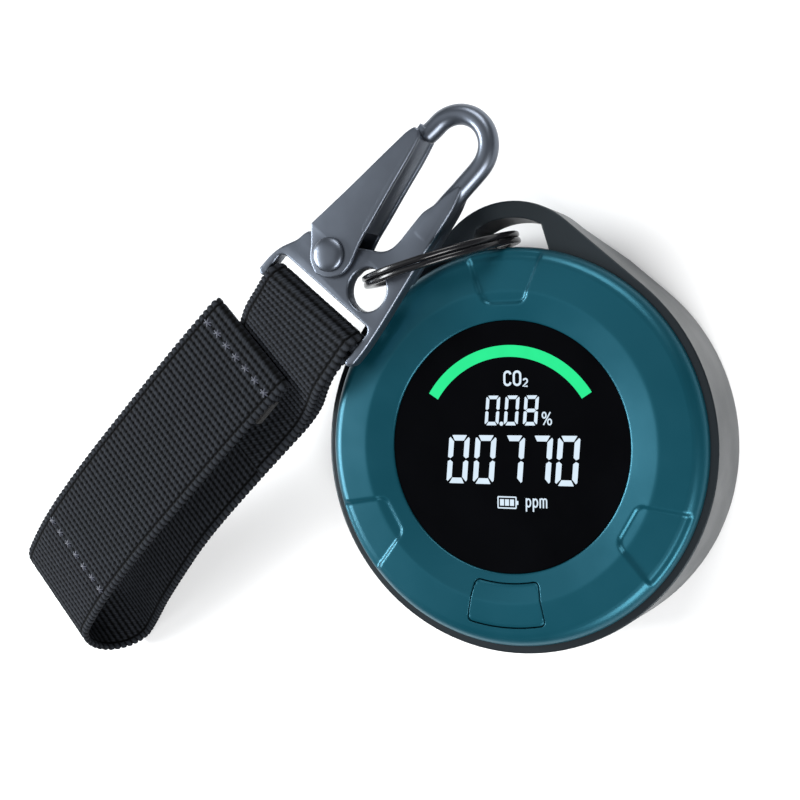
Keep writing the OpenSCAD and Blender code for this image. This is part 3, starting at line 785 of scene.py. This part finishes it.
def webbing(name, line, outer, width, shift, thickness):
    """Ribbed webbing along a line: each rib is crossed by yarns, in a brick pattern, on both faces; each point
    also stores its height, which the material paints as shade in the grooves and highlight on the crests.
    """
    count = int(round(24.0 / YARN))
    fine = np.concatenate([[-1, -0.985, -0.96], np.linspace(-0.94, 0.94, count * 4 - 3), [0.96, 0.985, 1]])
    run = np.concatenate([[0], np.cumsum(np.linalg.norm(np.diff(line, axis=0), axis=1))])
    normals = side_normals(line) * outer
    normal = np.column_stack([np.outer(normals[:, 0], ALONG), normals[:, 1]])
    middle, across = row_frame(line[:, 0], line[:, 1])
    rib_number = np.floor(run / RIB)
    ridge = rounded(run / RIB)[:, None]
    uneven = rng.uniform(0.86, 1.0, (int(rib_number.max()) + 1, count + 2))
    faces_out, painted_shading_height, weave = [], [], []
    for side, columns in ((1, fine), (-1, fine[::-1][1:-1])):
        x = columns[None, :] * width[:, None] / 2
        odd = 0.5 * (rib_number % 2)[:, None]
        place = (x + 0.5 * (np.mod(run, RIB) - RIB / 2)[:, None]) / YARN + odd
        yarn = rounded(place)
        valley = np.round(run / RIB)[:, None]
        hole_x = np.abs(np.mod(x / (2 * YARN) + 0.5 * (valley % 2), 1.0) - 0.5) * 2 * YARN
        hole_y = np.abs(run[:, None] - valley * RIB)
        hole = np.exp(-((hole_x / 0.3) ** 2) - (hole_y / 0.3) ** 2)
        own = uneven[rib_number.astype(int)[:, None], np.mod(np.floor(place).astype(int), count + 2)]
        at_edge = np.abs(columns)[None, :] > 0.87
        groove = 1 - 0.85 * np.exp(-(((np.abs(columns) - 0.872) / 0.014) ** 2))[None, :]
        body = (0.12 + 0.88 * ridge) * (0.6 + 0.4 * yarn) * (1 - 0.8 * hole) * own * groove
        crest = np.where(at_edge, (0.1 + 0.8 * ridge) * groove, body)
        edge = np.sqrt(np.clip(1 - (np.clip(np.abs(columns) - 0.95, 0, 1) / 0.05) ** 2, 0, 1))[None, :]
        height = edge * thickness[:, None] * (0.28 + (0.34 if side == 1 else 0.2) * crest) * side
        out = x * (1 + 0.042 * (ridge - 0.6) * at_edge) + shift[:, None]
        sideways, up = across[:, None] * out[..., None], normal[:, None] * height[..., None]
        faces_out.append(middle[:, None] + sideways + up)
        # Stored height for the material: painted shade in the grooves, the holes and at the rounded selvage,
        # and painted highlight on the crests.
        painted_shading_height.append(crest * (0.7 + 0.3 * edge))
        lengthways = np.broadcast_to(run[:, None], out.shape)
        weave.append(np.stack([out, lengthways, np.full(out.shape, 3.0 * side)], -1))
    vertices = np.concatenate(faces_out, 1)
    painted_shading_height, weave = np.concatenate(painted_shading_height, 1), np.concatenate(weave, 1)
    rows, n = vertices.shape[:2]
    corner = np.arange(rows - 1)[:, None] * n + np.arange(n)[None, :]
    beside = np.arange(rows - 1)[:, None] * n + (np.arange(n)[None, :] + 1) % n
    quads = np.stack([corner, beside, beside + n, corner + n], -1).reshape(-1, 4).tolist()
    quads.append(list(reversed(range(n))))
    quads.append([(rows - 1) * n + k for k in range(n)])
    if outer > 0:
        quads = [q[::-1] for q in quads]
    piece = add_mesh(name, vertices.reshape(-1, 3), quads, WEBBING, None, 180)
    # The painted shading height and the weave coordinates, stored on the points for the material.
    for key, kind, field, values in (
        ("painted_shading_height", "FLOAT", "value", painted_shading_height), ("weave", "FLOAT_VECTOR", "vector", weave),
    ):
        data = piece.data.attributes.new(key, kind, "POINT")
        data.data.foreach_set(field, np.ascontiguousarray(values, np.float32).ravel())
    return piece


STEP = RIB / 7
DROOP = [[0, 0.1], [0, 1.0], [0, 1.3], [0, 0.6], [0, 0.1]]
TAB = [[5.5, 24.1], [10, 22.6], [15, 19.4], [20, 17.1], [27, 16.4]]


def tab_ply(side):
    """The tab's centre line moved to its lower or upper ply."""
    line = np.array(TAB)
    return line + side * side_normals(line) * 0.6


def strap_rear():
    """The back layer, which runs up, round the hook's bar and down again under the flap."""
    loop = BAR_RADIUS + 0.75
    round_bar = [[loop * math.cos(a), BAR_Z + loop * math.sin(a)] for a in np.radians(range(-70, -300, -23))]
    fold = FOLD_HEIGHT / 2 - 0.6
    start = [FOLD_S - fold * math.sin(FOLD_TILT), FOLD_HEIGHT / 2 - fold * math.cos(FOLD_TILT)]
    points = [start, [84, 3.2], [78, 6.4], [72, 8.9], [65, 11.3], [58, 13.4], [50, 14.8], [36, 15.65],
              *(tab_ply(-1) - DROOP)[::-1], *round_bar, *tab_ply(1), [31, 17.0], [34, 16.95]]
    line = curve_through(points, STEP)
    width = 24 - 0.7 * (1 - smooth_step(line[:, 0], 3, 16))
    shift = FLAP_SHIFT * start[1] / FOLD_HEIGHT * smooth_step(line[:, 0], 70, FOLD_S)
    piece = webbing("strap_rear_webbing", line, 1, width, shift, np.full(len(line), 1.2))
    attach(piece, "strap")
    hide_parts("clip_tab", "strap_back")


HEM_END = 15.4


def strap_front():
    """The bottom fold and the flap, whose top end is turned under and stitched."""
    middle = FOLD_HEIGHT / 2
    r = middle - 0.6
    turns = np.linspace(-math.pi / 2 - FOLD_TILT, math.pi / 2 - FOLD_TILT, 13)
    fold = [[FOLD_S + r * math.cos(a), middle + r * math.sin(a)] for a in turns]
    flap = [[85, 17.25], [78, 19.0], [72, 20.0], [65, 20.9], [58, 21.5], [50, 21.95], [36, 22.6],
            [27, 22.8], [20, 22.75], [HEM_END + 0.6, 22.6]]
    turn = [[HEM_END - 0.2, 22.3], [HEM_END - 0.35, 21.85], [HEM_END + 0.1, 21.45], [HEM_END + 0.9, 21.4],
            [20.1, 21.6]]
    line = curve_through([*fold, *flap, *turn], STEP)
    shift = FLAP_SHIFT * np.where(line[:, 0] > 85, np.clip(line[:, 1] / 14.2, 0, 1), 1.0)
    thickness = np.full(len(line), 1.2)
    top_end = int(np.argmin(line[:, 0]))
    thickness[top_end:] = 0.85
    piece = webbing("strap_flap_webbing", line, -1, np.full(len(line), 24.0), shift, thickness)
    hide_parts("strap_fold", "strap_flap")
    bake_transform(piece)
    return line[:top_end]


def stitches(name, line, pairs, body, radius=0.16, lift=0.86):
    """Short thread stitches on top of the webbing, each from one (distance, offset) to another."""
    order = np.argsort(line[:, 0])
    known = line[order]
    normals = -side_normals(line)[order]
    parts = []
    for (s0, x0), (s1, x1) in pairs:
        points = []
        for t in np.linspace(0, 1, 6):
            s, x = s0 + (s1 - s0) * t, x0 + (x1 - x0) * t
            z = np.interp(s, known[:, 0], known[:, 1])
            n = np.array([np.interp(s, known[:, 0], normals[:, k]) for k in (0, 1)])
            out = lift * 0.6 + 0.22 * math.sin(math.pi * t)
            middle, across = row_frame(s, z)
            points.append(middle + across * x + np.array([*(ALONG * n[0]), n[1]]) * out)
        points = np.array(points)
        ahead = np.gradient(points, axis=0)
        rings = []
        for p, d in zip(points, ahead):
            d = d / np.linalg.norm(d)
            u = np.cross(d, [0, 0, 1.0])
            u /= np.linalg.norm(u)
            w = np.cross(u, d)
            rings.append([p + radius * (u * math.cos(a) + w * math.sin(a))
                          for a in np.linspace(0, 2 * math.pi, 8, endpoint=False)])
        parts.append(tube(rings, radius * 0.6))
    vertices, faces = joined(*parts)
    piece = add_mesh(name, vertices, faces, THREAD, body)
    return piece


def crosses(centre, low, high, count):
    """Bar tacks across the webbing: small crosses with a bar through each."""
    pairs = []
    for x in np.linspace(low, high, count):
        c = centre + rng.uniform(-0.15, 0.15)
        pairs += [((c - 0.7, x - 0.5), (c + 0.7, x + 0.55)), ((c + 0.65, x - 0.6), (c - 0.6, x + 0.5)),
                  ((c + 0.1, x - 0.95), (c - 0.1, x + 0.9))]
    return pairs


# ---------- display ----------


def prism(outline, low, high):
    """A thin flat piece from an outline, as (vertices, faces)."""
    loop = anticlockwise(np.asarray(outline, float))
    n = len(loop)
    vertices = np.vstack([np.column_stack([loop, np.full(n, z)]) for z in (low, high)])
    faces = [(i, (i + 1) % n, (i + 1) % n + n, i + n) for i in range(n)]
    faces += [tuple(range(n, 2 * n)), tuple(reversed(range(n)))]
    return vertices, faces


def stroke(points, width):
    """The outline of a pen stroke along points."""
    p = np.asarray(points, float)
    ahead = np.gradient(p, axis=0)
    ahead /= np.linalg.norm(ahead, axis=1)[:, None]
    left = np.stack([-ahead[:, 1], ahead[:, 0]], 1) * width / 2
    return np.vstack([p + left, (p - left)[::-1]])


def arc(x, y, rx, ry, start, end, steps=14):
    a = np.radians(np.linspace(start, end, steps))
    return np.stack([x + rx * np.cos(a), y + ry * np.sin(a)], 1)


SEGMENTS = {"0": "abcdef", "7": "abc", "8": "abcdefg"}


def digit(symbol, x, y, width, height, pen, slant=0.085):
    """The lit segments of one seven-segment digit."""
    w, h, t, m = width, height, pen, height / 2
    e = pen * 0.14
    left_top = [(0, h - t * 0.6), (t * 0.25, h - t * 0.35), (t, h - t - e), (t, m + 0.55 * t),
                (t / 2, m + e), (0, m + 0.4 * t)]
    left_low = [(x0, h - y0) for x0, y0 in left_top]
    shapes = {
        "a": [(t * 0.45 + e, h - e * 0.2), (t * 0.9, h), (w - t * 0.9, h), (w - t * 0.45 - e, h - e * 0.2),
              (w - t - e, h - t), (t + e, h - t)],
        "f": left_top, "e": left_low,
        "b": [(w - x0, y0) for x0, y0 in left_top],
        "c": [(w - x0, y0) for x0, y0 in left_low],
        "g": [(0.65 * t, m), (1.15 * t, m + t / 2), (w - 1.15 * t, m + t / 2), (w - 0.65 * t, m),
              (w - 1.15 * t, m - t / 2), (1.15 * t, m - t / 2)],
    }
    shapes["d"] = [(x0, h - y0) for x0, y0 in shapes["a"]]
    return [[(x + px + py * slant, y + py) for px, py in shapes[s]] for s in SEGMENTS[symbol]]


def display():
    """What the lit display shows: an arc, a gas name, a percentage, a reading and a battery."""
    low, high = LENS_TOP - 0.01, LENS_TOP + 0.015
    shapes = []
    for k, symbol in enumerate("00770"):
        shapes += digit(symbol, -13.0 + 5.45 * k + 0.25 * (symbol == "7"), -6.7, 4.25, 8.9, 1.04)
    for symbol, x in (("0", -5.0), ("0", -1.15), ("8", 2.65)):
        shapes += digit(symbol, x, 4.0, 2.8, 5.4, 0.64)
    shapes.append(arc(-1.6, 4.3, 0.38, 0.38, 0, 345, 20))
    pen = 0.42
    letter_c = [arc(-0.3, 13.1, 0.62, 0.62, 10, 180, 8), arc(-0.3, 11.9, 0.62, 0.62, 180, 350, 8)]
    letter_o = [arc(1.6, 13.1, 0.64, 0.62, 0, 180, 8), arc(1.6, 11.9, 0.64, 0.62, 180, 364, 8), [[2.24, 13.15]]]
    small_two = [arc(3.22, 12.0, 0.4, 0.4, 165, -35, 9), [[2.75, 11.05], [3.66, 11.05]]]
    for path, width in ((letter_c, pen), (letter_o, pen), (small_two, 0.3)):
        shapes.append(stroke(np.vstack(path), width))
    for cx, cy in ((6.85, 5.85), (7.9, 4.65)):
        shapes.append(stroke(arc(cx, cy, 0.36, 0.5, 0, 360, 18), 0.26))
    shapes.append(stroke([[6.7, 4.1], [8.05, 6.4]], 0.24))
    base = -10.75
    for x in (3.25, 4.62):
        shapes.append(stroke([[x, base + 1.7], [x, base - 0.7]], 0.28))
        shapes.append(stroke(arc(x + 0.4, base + 0.86, 0.42, 0.7, 150, -150, 14), 0.28))
    shapes.append(stroke([[5.95, base], [5.95, base + 1.7]], 0.28))
    for x in (5.95, 6.57):
        hump = arc(x + 0.31, base + 1.26, 0.31, 0.4, 160, 0, 8)
        shapes.append(stroke(np.vstack([hump, [[x + 0.62, base]]]), 0.26))
    x0, x1, y0, y1 = -2.4, 1.2, -10.95, -8.95
    for a, b in (((x0, y0), (x1, y0)), ((x1, y0), (x1, y1)), ((x1, y1), (x0, y1)), ((x0, y1), (x0, y0))):
        shapes.append(stroke([a, b], 0.24))
    for k in range(3):
        x = x0 + 0.4 + 1.0 * k
        shapes.append([(x, y0 + 0.42), (x + 0.8, y0 + 0.42), (x + 0.8, y1 - 0.42), (x, y1 - 0.42)])
    tip0, tip1 = x1 + 0.1, x1 + 0.45
    shapes.append([(tip0, y0 + 0.65), (tip1, y0 + 0.65), (tip1, y1 - 0.65), (tip0, y1 - 0.65)])
    shapes = [[(0.955 * px + 0.5, 0.985 * py - 0.1) for px, py in shape] for shape in shapes]
    lit = glowing("display_white", (0.74, 0.88, 1.0), 1.0)
    vertices, faces = joined(*(prism(s, low, high) for s in shapes))
    piece = add_mesh("display_digits", vertices, faces, lit, "monitor", 30)
    rims = ((18.35, 32.5, 147.5), (16.25, 147.5, 32.5))
    gauge = np.vstack([arc(0.25, -0.2, r, r, start, end, 60) for r, start, end in rims])
    green = glowing("display_green", (0.02, 0.88, 0.3), 1.0)
    vertices, faces = prism(gauge, low, high)
    piece = add_mesh("display_gauge_arc", vertices, faces, green, "monitor", 30)


# ---------- studio ----------


def studio():
    """A pale floor, soft lights, and the camera above and to the right of the object."""
    floor_material = solid("floor", (0.86, 0.86, 0.86), 0.7, 300, 0.00002, 0.01, 0.0, 6.0)
    half = 3.0
    mesh = bpy.data.meshes.new("floor")
    corners = [(-half, -half, 0), (half, -half, 0), (half, half, 0), (-half, half, 0)]
    mesh.from_pydata(corners, [], [(0, 1, 2, 3)])
    mesh.materials.append(floor_material)
    floor = bpy.data.objects.new("floor", mesh)
    floor.location.z = -0.0001
    bpy.context.scene.collection.objects.link(floor)

    def area(name, place, aim, size, power, colour=(1, 1, 1)):
        light = bpy.data.lights.new(name, "AREA")
        light.shape = "RECTANGLE"
        light.size, light.size_y = size
        light.energy = power
        light.color = colour
        lamp = bpy.data.objects.new(name, light)
        lamp.location = place
        lamp.rotation_euler = (Vector(aim) - Vector(place)).to_track_quat("-Z", "Y").to_euler()
        bpy.context.scene.collection.objects.link(lamp)

    area("left", (-0.9, 0.02, 0.4), (0, 0, 0), (0.6, 0.24), 17.0, (0.95, 0.98, 1.0))
    area("above", (-0.47, 0.05, 0.93), (0, 0, 0), (0.8, 0.8), 1.5)
    area("front", (0.5, -0.75, 0.7), (0, 0, 0), (0.7, 0.5), 19.0)
    area("top", (0.15, 0.95, 0.7), (-0.03, 0, 0), (0.7, 0.4), 9.0)

    world = bpy.data.worlds.new("studio")
    world.use_nodes = True
    world.node_tree.nodes["Background"].inputs[0].default_value = (0.9, 0.95, 1.0, 1)
    world.node_tree.nodes["Background"].inputs[1].default_value = 0.16
    bpy.context.scene.world = world

    camera = bpy.data.cameras.new("camera")
    camera.sensor_width = 36.0
    camera.lens = 53.82
    camera.clip_start = 0.01
    right = Vector((0.893, -0.009, -0.450)).normalized()
    back = Vector((0.450, 0.005, 0.893))
    back = (back - right * back.dot(right)).normalized()
    up = back.cross(right)
    viewer = bpy.data.objects.new("camera", camera)
    viewer.matrix_world = Matrix((
        (right.x, up.x, back.x, 0.0789),
        (right.y, up.y, back.y, 0.0096),
        (right.z, up.z, back.z, 0.2182),
        (0, 0, 0, 1),
    ))
    bpy.context.scene.collection.objects.link(viewer)
    bpy.context.scene.camera = viewer
    bpy.context.scene.view_settings.view_transform = "Standard"


studio()
front_bezel()
mode_button()
hook_frame()
hook_gate()
hook_rivet()
split_ring()
strap_rear()
flap_line = strap_front()
flap_top = flap_line[(flap_line[:, 1] > 14) & (flap_line[:, 0] < 92)]
low_x, high_x = -10.4 + FLAP_SHIFT, 10.4 + FLAP_SHIFT
stitches("flap_top_stitches", flap_top, crosses(19.3, low_x + 0.8, high_x - 0.8, 7), "flap")
stitches("flap_lower_stitches", flap_top, crosses(80.5, low_x + 0.8, high_x - 0.8, 7), "flap")
display()
